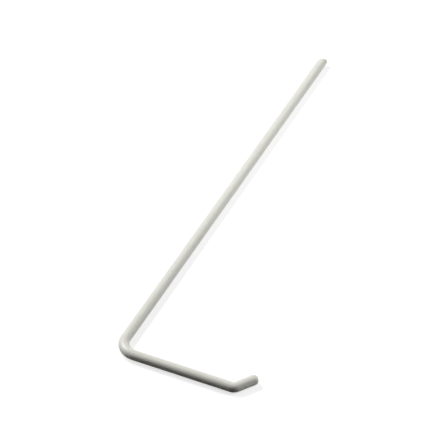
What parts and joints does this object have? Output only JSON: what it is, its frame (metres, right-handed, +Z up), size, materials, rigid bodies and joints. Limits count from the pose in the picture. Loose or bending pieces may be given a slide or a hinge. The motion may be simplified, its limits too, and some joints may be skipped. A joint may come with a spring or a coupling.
{
  "type": "cell spreader",
  "caption": "L-shaped cell spreader for culture plates: a slim moulded plastic rod with a long straight handle, a short blade at a right angle and a turned-up blunt tip.",
  "frame": {"origin": "on the table, under the centre of the part's box as it lies flat", "axes": "+Y along the straight handle towards its free end, +X from the corner along the blade, +Z up out of the table, through the rod's thickness"},
  "size_m": [0.0424, 0.1504, 0.003],
  "materials": {
    "moulded_plastic": "smooth off-white moulded plastic, soft semi-gloss"
  },
  "bodies": {
    "root": {"cell_spreader": "moulded_plastic"}
  },
  "joints": []
}
